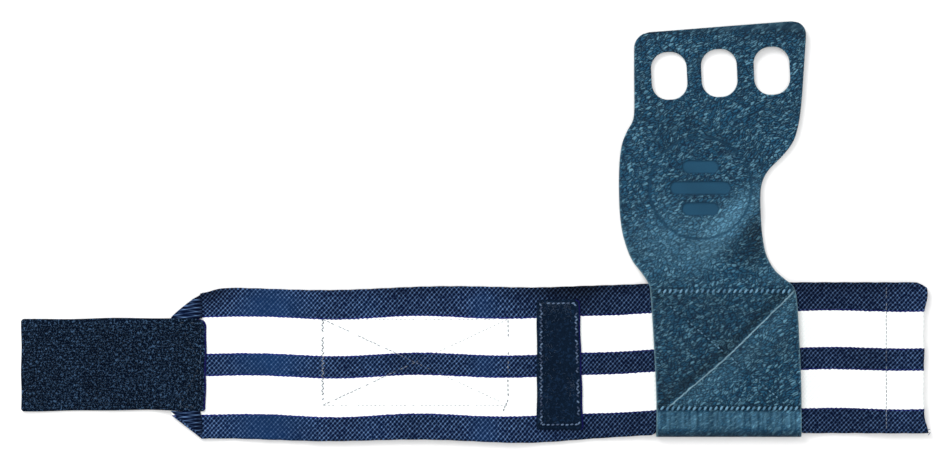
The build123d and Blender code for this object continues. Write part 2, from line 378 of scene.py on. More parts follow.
def line_gap(tree, split, start, end):
    """Distance to the right of a line on the leather, as nodes."""
    run = Vector(end) - Vector(start)
    across = maths(tree, "SUBTRACT", split.outputs["X"], start[0])
    across = maths(tree, "MULTIPLY", across, run.y / run.length)
    along = maths(tree, "SUBTRACT", split.outputs["Y"], start[1])
    along = maths(tree, "MULTIPLY", along, run.x / run.length)
    return maths(tree, "SUBTRACT", across, along)


def leather_material(groups):
    """Pebbled leather: grain outside, a pressed mark and suede on the flesh side; shade, sheen and
    highlights are painted into its colour.
    """
    material, tree, shader = new_material("grained_leather")
    place = attribute(tree, "cloth").outputs["Vector"]
    pressed, ridge, raw, flesh, painted_shade, sheen_and_wear, calm = (
        attribute(tree, name).outputs["Fac"]
        for name in ("pressed", "ridge", "raw", "flesh", "painted_shade", "sheen_and_wear", "calm"))
    grain = use_group(tree, groups["pebble"], Place=place)
    fine = noise(tree, place, 2.6, 3.0, 0.6)
    height = maths(tree, "MULTIPLY_ADD", fine, 0.25, grain.outputs["Height"])
    flattened = maths(tree, "MAXIMUM", maths(tree, "MULTIPLY", pressed, 0.93), calm)
    smooth = maths(tree, "SUBTRACT", 1.0, flattened)
    height = maths(tree, "MULTIPLY", height, smooth)
    shade = use_group(tree, groups["mottle"], Place=place, Size=26.0, Amount=0.2)
    raised = maths(tree, "MAXIMUM", spread(tree, height, 0.1, 0.9), maths(tree, "MULTIPLY", calm, 0.9))
    # painted shade in the grain's creases, paler on the cell tops
    skin = blend_colour(tree, raised, rgb(0, 28, 52), rgb(32, 88, 120))
    # painted highlights: glints on the tops of the paler cells
    glints = maths(tree, "MULTIPLY", spread(tree, grain.outputs["Tone"], 0.35, 0.9), raised)
    skin = blend_colour(tree, maths(tree, "MULTIPLY", glints, 0.5), skin, rgb(132, 190, 214))
    # painted sheen from the attribute read above, strongest on the grain's tops
    sheen_mix = maths(tree, "MULTIPLY", sheen_and_wear, maths(tree, "MULTIPLY_ADD", raised, 0.6, 0.25))
    skin = blend_colour(tree, sheen_mix, skin, rgb(108, 168, 200))
    skin = blend_colour(tree, pressed, skin, rgb(20, 66, 92))
    # painted shade in seams, beside the ridge and on shaded slopes, from the attribute read above
    depth = maths(tree, "MULTIPLY_ADD", painted_shade, -0.62, 1.0)
    skin = times(tree, skin, maths(tree, "MULTIPLY", shade.outputs["Factor"], depth))
    split = separate(tree, place)
    # painted highlight: a pale line along the ridge's crest
    crest = maths(tree, "MAXIMUM", line_gap(tree, split, RIDGE_FOOT, RIDGE_BEND),
                  line_gap(tree, split, RIDGE_BEND, RIDGE_HEAD))
    stray = maths(tree, "SUBTRACT", noise(tree, place, 0.45, 3.0), 0.5)
    crest = maths(tree, "MULTIPLY_ADD", stray, 0.9, crest)
    crest = spread(tree, maths(tree, "ABSOLUTE", crest), 0.12, 0.5, 0.85, 0.0)
    skin = blend_colour(tree, maths(tree, "MULTIPLY", crest, ridge), skin, rgb(140, 178, 196))
    edge = blend_colour(tree, fine, rgb(70, 112, 132), rgb(150, 188, 200))
    skin = blend_colour(tree, raw, skin, edge)
    suede = blend_colour(tree, noise(tree, place, 0.9, 4.0, 0.7), rgb(34, 52, 68), rgb(70, 90, 106))
    wire(tree, blend_colour(tree, flesh, skin, suede), shader.inputs["Base Color"])
    rough = spread(tree, height, 0.3, 1.0, 0.6, 0.44)
    rough = maths(tree, "MAXIMUM", rough, maths(tree, "MULTIPLY", flesh, 0.95))
    wire(tree, rough, shader.inputs["Roughness"])
    shader.inputs["Specular IOR Level"].default_value = 0.15
    bump(tree, shader, height, 0.95, 1.0)
    return material


def tape_material(name, dark, light, size, cover, groups):
    """Brushed or hooked tape: a dark ground with paler clumps of fibre. size is a clump's width in
    millimetres, cover how much of the ground the clumps hide."""
    material, tree, shader = new_material(name)
    place = attribute(tree, "cloth").outputs["Vector"]
    clumps = noise(tree, place, 0.62 / size, 3.0, 0.62, 0.8)
    specks = noise(tree, place, 1.5 / size, 2.0, 0.5)
    level = maths(tree, "MULTIPLY_ADD", specks, 0.35, clumps)
    level = spread(tree, level, 0.82 - 0.3 * cover, 0.95 - 0.3 * cover)
    shade = use_group(tree, groups["mottle"], Place=place, Size=16.0, Amount=0.2)
    colour = times(tree, blend_colour(tree, level, dark, light), shade.outputs["Factor"])
    sealed = attribute(tree, "sealed").outputs["Fac"]
    colour = blend_colour(tree, sealed, colour, rgb(24, 20, 92))
    wire(tree, colour, shader.inputs["Base Color"])
    shader.inputs["Roughness"].default_value = 0.85
    shader.inputs["Specular IOR Level"].default_value = 0.05
    bump(tree, shader, level, 0.45, 0.9)
    return material


def strand_material(name, dark, light, rough=0.55):
    """Thread, hooks and loose fibres: one shade each, from the piece's own shade attribute."""
    material, tree, shader = new_material(name)
    shade = attribute(tree, "shade").outputs["Fac"]
    place = attribute(tree, "cloth").outputs["Vector"]
    twist = tree.nodes.new("ShaderNodeTexWave")
    twist.bands_direction = "DIAGONAL"
    twist.inputs["Scale"].default_value = 0.9
    wire(tree, place, twist.inputs["Vector"])
    colour = blend_colour(tree, shade, dark, light)
    sheen_and_wear = blend_colour(tree, maths(tree, "MULTIPLY", twist.outputs["Fac"], 0.25), colour, dark)
    wire(tree, sheen_and_wear, shader.inputs["Base Color"])
    shader.inputs["Roughness"].default_value = rough
    bump(tree, shader, twist.outputs["Fac"], 0.05)
    return material


def floor_material():
    """Matt white studio paper."""
    material, tree, shader = new_material("studio_paper")
    coordinates = tree.nodes.new("ShaderNodeTexCoord")
    fibre = noise(tree, coordinates.outputs["Object"], 300.0, 2.0)
    wire(tree, blend_colour(tree, fibre, rgb(250, 250, 250), rgb(253, 253, 253)),
         shader.inputs["Base Color"])
    shader.inputs["Roughness"].default_value = 0.9
    return material


def make_materials():
    """Every material, under the name that the makers below ask for."""
    groups = {"net": woven_net_group(), "pebble": pebble_group(), "mottle": mottle_group()}
    return {
        "elastic": elastic_material(groups),
        "leather": leather_material(groups),
        "loop_tape": tape_material("brushed_loop_tape", rgb(6, 22, 40), rgb(18, 38, 62),
                                   0.9, 0.6, groups),
        "hook_tape": tape_material("hook_tape_ground", rgb(0, 10, 27), rgb(64, 92, 124),
                                   0.62, 0.46, groups),
        "hooks": strand_material("hook_nylon", rgb(0, 12, 28), rgb(58, 84, 112), 0.4),
        "fibre": strand_material("loop_fibre", rgb(24, 42, 64), rgb(70, 92, 122), 0.8),
        "leather_thread": strand_material("leather_thread", rgb(50, 98, 128), rgb(104, 150, 178)),
        "navy_thread": strand_material("navy_thread", rgb(20, 40, 72), rgb(96, 122, 154)),
        "grey_thread": strand_material("grey_thread", rgb(70, 76, 90), rgb(138, 146, 156)),
        "floor": floor_material(),
    }


# ---- sizes read from the frame -----------------------------------------------------------------
panel_low, panel_high = node_box("band_wrist")
BAND = panel_high.z - panel_low.z
HALF_BAND = panel_high.y
BAND_LEFT = node_box("band_end")[0].x
BAND_RIGHT = node_box("band_right_2")[1].x
TAB_LEFT = node_box("hook_tab_4")[0].x
TAB_RIGHT = node_box("hook_tab_1")[1].x
TAB_LOW, TAB_HIGH = node_box("hook_tab_1")[0].y, node_box("hook_tab_1")[1].y
PATCH_LEFT, PATCH_RIGHT = node_box("loop_patch_3")[0].x, node_box("loop_patch_1")[1].x
PATCH_LOW, PATCH_HIGH = node_box("loop_patch_1")[0].y, node_box("loop_patch_1")[1].y
STRIP_LEFT, STRIP_RIGHT = node_box("cross_strip")[0].x, node_box("cross_strip")[1].x
STRIP_LOW, STRIP_HIGH = node_box("cross_strip")[0].y, node_box("cross_strip")[1].y
HEM_LEFT = node_box("hem_fold")[0].x
FOLD_X = node_box("corner_fold_upper")[1].x
BACKED = panel_low.z                     # height of the band's underside over its backings
UNDER = node_box("loop_patch_2")[1].z    # thickness of the patch, the back panel and the hem
LEATHER = 1.6
LEATHER_UNDERSIDE = panel_high.z + 0.1
TAPE = 1.0                               # loop tape of the cross strip
TAB_TAPE = 0.75                          # hook tape without its hooks
HOOK_HEIGHT = 0.65
SEWN_IN = 3.0                            # how far in from the leather's sides it holds the band flat


def centres(stem, numbers):
    """Where along the wrap each of a row of numbered nodes has its middle."""
    boxes = {f"{stem}_{i}": node_box(f"{stem}_{i}") for i in numbers}
    return {name: (low.x + high.x) / 2 for name, (low, high) in boxes.items()}


def ease(value, start, end):
    """0 before start, 1 after end, smooth between; start may be the larger."""
    t = min(1.0, max(0.0, (value - start) / (end - start)))
    return t * t * (3 - 2 * t)


def hill(value, width):
    """A smooth bump of height 1 at 0."""
    return math.exp(-(value / width) ** 2)


# ---- how the open wrap lies --------------------------------------------------------------------
# stretches of the band that lie on a backing
BACKINGS = ((PATCH_LEFT, PATCH_RIGHT), (panel_low.x + SEWN_IN, panel_high.x - SEWN_IN),
            (HEM_LEFT, BAND_RIGHT + 20))
DRAPE = 11.0                             # how far the band takes to come down off a backing


def wander(u):
    """How far the band's middle strays sideways: it was laid down by hand."""
    bend = 3.3 * ease(u, -100, -8)
    wave = 0.6 * math.cos(2 * math.pi * (u + 253) / 105) * (1 - ease(u, -110, -50))
    return -2.1 + bend + wave


def band_under(u, v):
    """Height of the band's underside."""
    lift = max(ease(u, low - DRAPE, low + 1) - ease(u, high - 1, high + DRAPE)
               for low, high in BACKINGS)
    free = 1 - lift
    ripple = 0.35 + 0.3 * math.sin(u / 9.5 + 0.6 * math.sin(v / 15)) + 0.12 * math.sin(u / 4.1 + v / 9)
    return BACKED * lift + free * ripple


def face_at(x, y):
    """Height of the band's face at a place on the table."""
    return band_under(x, y - wander(x)) + BAND


def tab_under(x, y):
    """Height of the hook tab's underside: on the band's end, then down to the table."""
    over_band = ease(x, BAND_LEFT - 12, BAND_LEFT + 0.5)
    ripple = 0.15 + 0.15 * math.sin(x / 8.5 + y / 22)
    return over_band * (face_at(max(x, BAND_LEFT), y) + 0.05) + (1 - over_band) * ripple


def tab_stray(x):
    """How far the hook tab's middle strays sideways."""
    return 0.3 * math.sin(x / 17)


# ---- building flat goods -----------------------------------------------------------------------
def flat_goods(columns, rows, pattern, place, bulge=0.18, holes=(), extras=None):
    """A closed sheet. pattern(s, t) turns 0..1 into flat millimetres (u, v); place(u, v, side) lays it
    down, side being 0 underneath and 1 on top. extras names more attributes: {name: f(u, v, side)}."""
    bm = bmesh.new()
    bmesh.ops.create_grid(bm, x_segments=columns, y_segments=rows, size=0.5)
    for vert in bm.verts:
        vert.co = Vector((*pattern(vert.co.x + 0.5, vert.co.y + 0.5), 0))
    for hole in holes:
        punch(bm, hole)
    bmesh.ops.recalc_face_normals(bm, faces=bm.faces[:])
    if sum(face.normal.z for face in bm.faces) < 0:
        bmesh.ops.reverse_faces(bm, faces=bm.faces[:])
    bmesh.ops.solidify(bm, geom=bm.faces[:], thickness=1.0)
    rim = [e for e in bm.edges if abs(e.verts[0].co.z - e.verts[1].co.z) > 0.5]
    bmesh.ops.subdivide_edges(bm, edges=rim, cuts=1)
    cloth = bm.verts.layers.float_vector.new("cloth")
    layers = {name: bm.verts.layers.float.new(name) for name in (extras or {})}
    for vert in bm.verts:
        u, v, side = vert.co.x, vert.co.y, vert.co.z + 1
        vert[cloth] = (u, v, side)
        for name, layer in layers.items():
            vert[layer] = extras[name](u, v, side)
        vert.co = place(u, v, side)
    bm.normal_update()
    for vert in bm.verts:
        if 0.25 < vert[cloth].z < 0.75:
            vert.co += vert.normal * bulge
    bm.normal_update()
    return bm


def punch(bm, hole):
    """Cuts a hole out of the flat grid: hole(u, v) is the distance to its edge, less than 0 inside."""
    inside = [f for f in bm.faces if hole(*f.calc_center_median().xy) < 0]
    edge = {v for f in inside for v in f.verts}
    bmesh.ops.delete(bm, geom=inside, context="FACES")
    step = 0.01
    for vert in [v for v in edge if v.is_valid]:
        for _ in range(3):
            x, y = vert.co.xy
            gap = hole(x, y)
            slope = Vector((hole(x + step, y) - gap, hole(x, y + step) - gap, 0)) / step
            vert.co -= slope * gap


def tape_outline(x0, x1, y0, y1, corners, rag=0.0, slant=0.0):
    """A pattern for an oblong: corners are its radii at lower left, upper left, lower right and upper
    right, rag is how uneven its edges are, and slant is how far the right edge leans in at the top."""
    def inset(v, low_corner, high_corner):
        """How far the rounded corners draw an edge in."""
        total = 0.0
        for near, radius in ((v - y0, low_corner), (y1 - v, high_corner)):
            if near < radius:
                total += radius - math.sqrt(max(0.0, radius ** 2 - (radius - near) ** 2))
        return total

    def pattern(s, t):
        """The flat tape."""
        v = y0 + (y1 - y0) * t
        left = x0 + inset(v, *corners[:2]) + rag * math.sin(v / 3.7 + x0)
        right = x1 - slant * t - inset(v, *corners[2:]) + rag * math.sin(v / 2.9)
        u = left + (right - left) * s
        return u, v + rag * math.sin(u / 6.3) * (2 * t - 1)
    return pattern


def finish_piece(name, bm, materials, nodes=()):
    """Turns a bmesh in millimetres into a finished object in metres."""
    for face in bm.faces:
        face.smooth = True
    bmesh.ops.transform(bm, matrix=Matrix.Scale(MM, 4), verts=bm.verts[:])
    mesh = bpy.data.meshes.new(name)
    bm.to_mesh(mesh)
    bm.free()
    piece = bpy.data.objects.new(name, mesh)
    bpy.context.collection.objects.link(piece)
    for material in materials:
        mesh.materials.append(material)
    if nodes:
        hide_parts(*nodes)
    return piece


# ---- the wrap's fold lines, and how a piece is shared out between them -------------------------
TIGHT_TURN = 6.0                         # how far past its fold line the short end's bend goes
STIFF_EDGE = 4.5                         # the bend stays this far inside the leather's sides


def wrap_folds():
    """Each fold line of the wrap, left to right: where it is, the bodies to its left and right,
    the stretch of cloth it owns, and the stretch that bends."""
    folds = []
    for joint in frame["joints"]:
        if joint["name"] == "palm_fold":
            continue
        x = joint["pos_m"][0] / MM
        pair = (joint["child"], joint["parent"]) if x < 0 else (joint["parent"], joint["child"])
        folds.append({"x": x, "bodies": pair})
    folds.sort(key=lambda f: f["x"])
    xs = [f["x"] for f in folds]
    middles = [(TAB_LEFT + xs[0]) / 2] + [(a + b) / 2 for a, b in zip(xs, xs[1:])] + [xs[-1] + 12]
    stiff = panel_high.x - STIFF_EDGE    # the wrist leather keeps the band under it flat
    far = 1e4
    for i, fold in enumerate(folds):
        fold["owns"] = (middles[i] if i else -far, middles[i + 1] if i < len(folds) - 1 else far)
        fold["bends"] = (middles[i], middles[i + 1])
        if fold["bodies"][1] == "wrist":
            fold["bends"] = (middles[i], -stiff)
        elif fold["bodies"][0] == "wrist":
            # the short end turns up tightly, because the long end closes over it
            fold["bends"] = (stiff, fold["x"] + TIGHT_TURN)
    return folds


FOLDS = wrap_folds()


def bend_with(piece, fold):
    """Bakes the piece's placement into its mesh; it reads the fold's bending stretch and bodies, but does
    not bend the piece.
    """
    start, end = fold["bends"]
    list(fold["bodies"])
    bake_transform(piece)


def slice_of(bm, low, high):
    """The part of a closed mesh between two planes across X, closed again at the cuts."""
    part = bm.copy()
    for x, way in ((low, 1), (high, -1)):
        xs = [v.co.x for v in part.verts]
        if not min(xs) < x < max(xs):
            continue
        bmesh.ops.bisect_plane(part, geom=part.verts[:] + part.edges[:] + part.faces[:], dist=1e-5,
                               plane_co=(x, 0, 0), plane_no=(way, 0, 0), clear_inner=True)
        open_edges = [e for e in part.edges if e.is_boundary]
        caps = bmesh.ops.holes_fill(part, edges=open_edges, sides=0)["faces"]
        for edge in {e for face in caps for e in face.edges}:
            edge.smooth = False
    bmesh.ops.recalc_face_normals(part, faces=part.faces[:])
    return part


def lay_on_wrap(name, bm, materials, nodes_at):
    """Cuts a whole piece of the wrap at the middles of its stretches, one slice for each fold line, and
    bakes each slice in place. nodes_at is {node: x}: the slice that holds x stands for that node."""
    xs = [v.co.x for v in bm.verts]
    low, high = min(xs), max(xs)
    folds = [f for f in FOLDS if f["owns"][1] > low + 0.5 and f["owns"][0] < high - 0.5]
    for number, fold in enumerate(folds, start=1):
        part = slice_of(bm, *fold["owns"])
        label = f"{name}_{number}" if len(folds) > 1 else name
        first, last = number == 1, number == len(folds)
        nodes = [n for n, x in nodes_at.items()
                 if (fold["owns"][0] <= x < fold["owns"][1]) or (first and x < fold["owns"][0])
                 or (last and x >= fold["owns"][1])]
        piece = finish_piece(label, part, materials, nodes)
        max(low, fold["owns"][0])
        min(high, fold["owns"][1])
        bend_with(piece, fold)
    bm.free()


# ---- elastic band ------------------------------------------------------------------------------
# where a sheen is painted on the band, and where its upper edge is painted darker, as painted shade
# beside the folded corner:
# (place along it, reach, strength)
PAINTED_SHEEN = ((-229, 17, 0.95), (-121, 9, 0.7), (-178, 10, 0.3))
DIMMED_ABOVE = ((-256, 12, 0.8), (-82, 20, 0.75))
WIDEST, WIDE_REACH = -108, 48            # where the band's own sewing stretches it wider
CORNER_TUCK = 4.2                        # the upper folded corner stops this far short of the band's edge
HALF_WAY_RIGHT = {"band_wrist": -1.0, "band_right_1": 50.0, "band_right_2": 90.0}


def patches(u, table):
    """The sum of some smooth patches along the band."""
    return sum(strength * hill(u - at, reach) for at, reach, strength in table)


def make_band(materials):
    """The whole elastic band, cut into one slice for each fold line."""
    fold_low = node_box("corner_fold_lower")[1].y
    fold_high = node_box("corner_fold_upper")[0].y
    sewn_left, sewn_right = panel_low.x + SEWN_IN, panel_high.x - SEWN_IN

    def edge_left(v):
        """The left end: straight under the tab, slanting where its corners are folded over."""
        top = max(0.0, (v - fold_high) / (HALF_BAND - fold_high))
        low = max(0.0, (fold_low - v) / (HALF_BAND + fold_low))
        return BAND_LEFT + (FOLD_X - BAND_LEFT) * (top ** 1.15 if top else low)

    def edge_right(v):
        """The right end: drawn in at the middle, a round upper corner and a pointed lower one."""
        upper = 1.6 * ease(v, 20, 32) - 6.5 * ease(v, HALF_BAND - 3.0, HALF_BAND + 1.4)
        lower = 1.9 * ease(v, -27, -HALF_BAND)
        return BAND_RIGHT - 0.9 + upper + lower + 0.15 * math.sin(v / 2.2)

    def pattern(s, t):
        """The flat band between its two ends, its long edges scalloped by the weave."""
        v = -HALF_BAND + 2 * HALF_BAND * t
        left, right = edge_left(v), edge_right(v)
        u = left + (right - left) * s
        scallop = 0.14 * math.cos(2 * math.pi * u / 2.2) * ease(abs(v), HALF_BAND - 2, HALF_BAND)
        return u, v + math.copysign(scallop, v)

    def width_change(u, v):
        """The band is stretched wider by its own sewing, and drawn in under the wrist leather."""
        stretched_out = hill(u - WIDEST, WIDE_REACH)
        wide = 1.3 * stretched_out - 2.6 * hill(u - FOLD_X + 1, 8)
        under_roll = 1.7 * ease(u, sewn_left, sewn_left + 4) * ease(u, sewn_right + 1, sewn_right - 2)
        foot = under_roll - stretched_out
        return wide * ease(v, 22, HALF_BAND) + foot * ease(v, -26, -HALF_BAND)

    def place(u, v, side):
        """Lays the band on its backings."""
        return Vector((u, v + wander(u) + width_change(u, v), band_under(u, v) + side * BAND))

    def tint(u, v, side):
        """Above 0 where a sheen is painted in; below 0 where the cloth is painted darker: painted shade
        at the upper edge beside the folded corner, elsewhere plain darkening.
        """
        smooth = patches(u, PAINTED_SHEEN)
        dimmed = patches(u, DIMMED_ABOVE) * ease(v, 20, 36)
        dimmed += 0.22 * ease(u, -208, -186) * ease(u, -64, -84) + 0.35 * ease(v, 31, 37)
        dimmed += 0.6 * ease(u, -84, -64) * (1 - 0.6 * ease(u, 74, 92))
        return smooth - dimmed

    bm = flat_goods(360, 58, pattern, place, bulge=0.12, extras={"tint": tint})
    nodes = centres("band_left", range(1, 8))
    nodes.update({"band_end": BAND_LEFT + 5, **HALF_WAY_RIGHT})
    lay_on_wrap("elastic_band", bm, [materials["elastic"]], nodes)


def make_corner_folds(materials):
    """The band's two left corners, folded over on to its top under the tab."""
    for name, node, side in (("folded_corner_top", "corner_fold_upper", 1),
                             ("folded_corner_foot", "corner_fold_lower", -1)):
        low, high = node_box(node)
        inner, outer = (low.y, high.y - CORNER_TUCK) if side > 0 else (high.y, low.y)

        def slant(v):
            """How far in the fold runs at this height."""
            t = min(1.0, abs(v - inner) / abs(outer - inner))
            return (FOLD_X - BAND_LEFT) * (t ** 1.15 if side > 0 else t)

        def pattern(s, t):
            """A triangle between the slanting fold and its cut edge."""
            v = inner + (outer - inner) * t
            start = BAND_LEFT + slant(v) + (1.2 * ease(t, 0.75, 1.0) if side > 0 else 0)
            end = FOLD_X + 0.5 * math.sin(v / 3)
            return start + (end - start) * s, v

        def place(u, v, level):
            """The flap turns on the slanting fold, where it comes down to the band's edge."""
            reach = ease(u - BAND_LEFT - slant(v), 0, 3)
            z = face_at(u, v) - 0.5 + 0.55 * reach + level * BAND * (0.7 + 0.3 * reach)
            return Vector((u - 0.25, v, z))

        # painted shade: the flap is darker all over, darkest towards its cut edge
        bm = flat_goods(16, 18, pattern, place, bulge=0.2,
                        extras={"tint": lambda u, v, level: -0.25 - 0.6 * ease(u, FOLD_X - 6, FOLD_X)})
        cloth = bm.verts.layers.float_vector["cloth"]
        for vert in bm.verts:            # the weave lies the other way on a folded corner
            u, v, level = vert[cloth]
            vert[cloth] = (v * 1.15, 31.0 + 0.2 * (u - BAND_LEFT), level)
        piece = finish_piece(name, bm, [materials["elastic"]], [node])
        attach(piece, "tab_base")


def make_hem(materials):
    """The band's right end turned under."""
    width, length = BAND_RIGHT - 1.4 - HEM_LEFT, 2 * HALF_BAND - 1.6

    def place(u, v, side):
        """Flat on the table, under the band."""
        return Vector((u, v + wander(u), 0.05 + side * UNDER))

    outline = tape_outline(HEM_LEFT, HEM_LEFT + width, -length / 2, length / 2, (0, 0, 2.5, 4))
    bm = flat_goods(18, 56, outline, place, bulge=0.15)
    cloth = bm.verts.layers.float_vector["cloth"]
    for vert in bm.verts:                # mirrored, because it is the band's other face
        u, v, side = vert[cloth]
        vert[cloth] = (2 * BAND_RIGHT - u, v, side)
    piece = finish_piece("hem_turned_under", bm, [materials["elastic"]], ["hem_fold"])
    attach(piece, "right_2")


# ---- tapes -------------------------------------------------------------------------------------
def make_cross_strip(materials):
    """The strip of loop tape sewn across the band's face."""
    def place(u, v, side):
        """On the band's face, thinner at its sewn edges."""
        plump = 0.12 * ease(min(u - STRIP_LEFT, STRIP_RIGHT - u), 0, 3)
        return Vector((u, v, face_at(u, v) + 0.04 + side * (TAPE - 0.1 + plump)))

    outline = tape_outline(STRIP_LEFT, STRIP_RIGHT + 0.9, STRIP_LOW, STRIP_HIGH, (1, 1.5, 1, 1.5),
                           rag=0.12, slant=1.8)
    bm = flat_goods(26, 70, outline, place,
                    extras={"sealed": sealed_end(outline, STRIP_LOW, STRIP_HIGH)})
    middle = (STRIP_LEFT + STRIP_RIGHT) / 2
    lay_on_wrap("loop_tape_across", bm, [materials["loop_tape"]],
                {"cross_strip": middle})


def sealed_end(outline, y0, y1):
    """An attribute for a tape: 1 at its heat-sealed right-hand end, 0 elsewhere."""
    def sealed(u, v, side):
        """The attribute's value."""
        right = outline(1.0, min(1.0, max(0.0, (v - y0) / (y1 - y0))))[0]
        return ease(u, right - 0.5, right - 0.05) if side > 0.1 else 0.0
    return sealed


def make_loop_patch(materials):
    """The patch of loop tape on the band's reverse."""
    def place(u, v, side):
        """Just under the band."""
        return Vector((u, v, band_under(u, v - wander(u)) - UNDER - 0.04 + side * UNDER))

    outline = tape_outline(PATCH_LEFT, PATCH_RIGHT, PATCH_LOW, PATCH_HIGH, (3, 3, 3, 3), 0.1)
    bm = flat_goods(100, 48, outline, place)
    lay_on_wrap("loop_tape_reverse", bm, [materials["loop_tape"]],
                centres("loop_patch", (1, 2, 3)))


def make_hook_tab(materials):
    """The closing tab of hook tape, its hooks left to make_hooks."""
    def place(u, v, side):
        """On the band's end, then down on the table."""
        return Vector((u, v + tab_stray(u), tab_under(u, v) + side * TAB_TAPE))

    outline = tape_outline(TAB_LEFT, TAB_RIGHT + 0.3, TAB_LOW, TAB_HIGH, (0.8, 0.8, 0.6, 4.0),
                           rag=0.15, slant=-0.5)
    bm = flat_goods(110, 54, outline, place, bulge=0.25,
                    extras={"sealed": sealed_end(outline, TAB_LOW, TAB_HIGH)})
    lay_on_wrap("hook_tape", bm, [materials["hook_tape"]],
                centres("hook_tab", (1, 2, 3, 4)))


# ---- threads, hooks and fibres -----------------------------------------------------------------
def small_things(name, places, shape, material, nodes, body=None):
    """Many small shapes in one piece for each fold line, or one piece that rides on a body.
    places is a list of (x, y, z, turn, size); shape(bm, matrix, size) adds one and returns its verts."""
    groups = [(None, places)]
    if body is None:
        groups = [(f, [p for p in places if f["owns"][0] <= p[0] < f["owns"][1]]) for f in FOLDS]
        groups = [g for g in groups if g[1]]
    most = max(range(len(groups)), key=lambda i: len(groups[i][1]))
    for number, (fold, some) in enumerate(groups):
        bm = bmesh.new()
        cloth = bm.verts.layers.float_vector.new("cloth")
        shade = bm.verts.layers.float.new("shade")
        chance = random.Random(number * 31 + len(some))
        for x, y, z, turn, size in some:
            matrix = Matrix.Translation((x, y, z)) @ Matrix.Rotation(turn, 4, "Z")
            tone = chance.random()
            for vert in shape(bm, matrix, size):
                vert[cloth] = vert.co
                vert[shade] = tone
        label = f"{name}_{number + 1}" if len(groups) > 1 else name
        if fold is None:
            mine = nodes
        elif isinstance(nodes, dict):
            mine = [n for n, x in nodes.items() if fold["owns"][0] <= x < fold["owns"][1]]
        else:
            mine = nodes if number == most else []
        piece = finish_piece(label, bm, [material], mine)
        if fold is None:
            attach(piece, body)
        else:
            bend_with(piece, fold)


def stitch(bm, matrix, size):
    """One stitch: a short plump grain of thread, its ends dipping into the cloth."""
    length, width, height = size
    shape = matrix @ Matrix.Diagonal((length / 2, width / 2, height, 1))
    return bmesh.ops.create_uvsphere(bm, u_segments=8, v_segments=6, radius=1, matrix=shape)["verts"]


def hook(bm, matrix, size):
    """One hook of the tape: a post and a tip bent over."""
    made = bmesh.ops.create_cone(bm, cap_ends=True, segments=3, radius1=0.17, radius2=0.12, depth=size,
                                 matrix=matrix @ Matrix.Translation((0, 0, size / 2)))["verts"]
    lean = Matrix.Translation((0.16, 0, size * 0.93)) @ Matrix.Rotation(1.9, 4, "Y")
    made += bmesh.ops.create_cone(bm, cap_ends=True, segments=3, radius1=0.14, radius2=0.05, depth=0.45,
                                  matrix=matrix @ lean)["verts"]
    return made


def fibre_loop(bm, matrix, size):
    """One loop of fibre standing on the tape: a thin bent strand."""
    made = []
    steps = 5
    points = [Vector((size * (i / steps - 0.5), 0, size * 0.8 * math.sin(math.pi * i / steps)))
              for i in range(steps + 1)]
    for a, b in zip(points, points[1:]):
        run = b - a
        turn = run.to_track_quat("Z", "Y").to_matrix().to_4x4()
        here = matrix @ Matrix.Translation((a + b) / 2) @ turn
        made += bmesh.ops.create_cone(bm, cap_ends=True, segments=3, radius1=0.07, radius2=0.07,
                                      depth=run.length * 1.1, matrix=here)["verts"]
    return made


def row(start, end, pitch, size, height, lean=0.0, skip=0.0, seed=1, zigzag=0.0):
    """Places for a straight row of stitches; height(x, y) is the cloth's top there. With zigzag they
    lean to and fro, that far off the line."""
    chance = random.Random(seed)
    a, b = Vector(start), Vector(end)
    run = b - a
    count = max(2, round(run.length / pitch))
    turn = math.atan2(run.y, run.x)
    sideways = Vector((-run.y, run.x)).normalized()
    places = []
    for i in range(count):
        if chance.random() < skip:
            continue
        way = 1 if i % 2 else -1
        aside = chance.uniform(-0.12, 0.12) + way * zigzag * 0.2
        at = a + run * ((i + 0.5) / count) + sideways * aside
        tilt = math.radians(lean) * (way if zigzag else 1) + chance.uniform(-0.08, 0.08)
        places.append((at.x, at.y, height(at.x, at.y), turn + tilt, size))
    return places


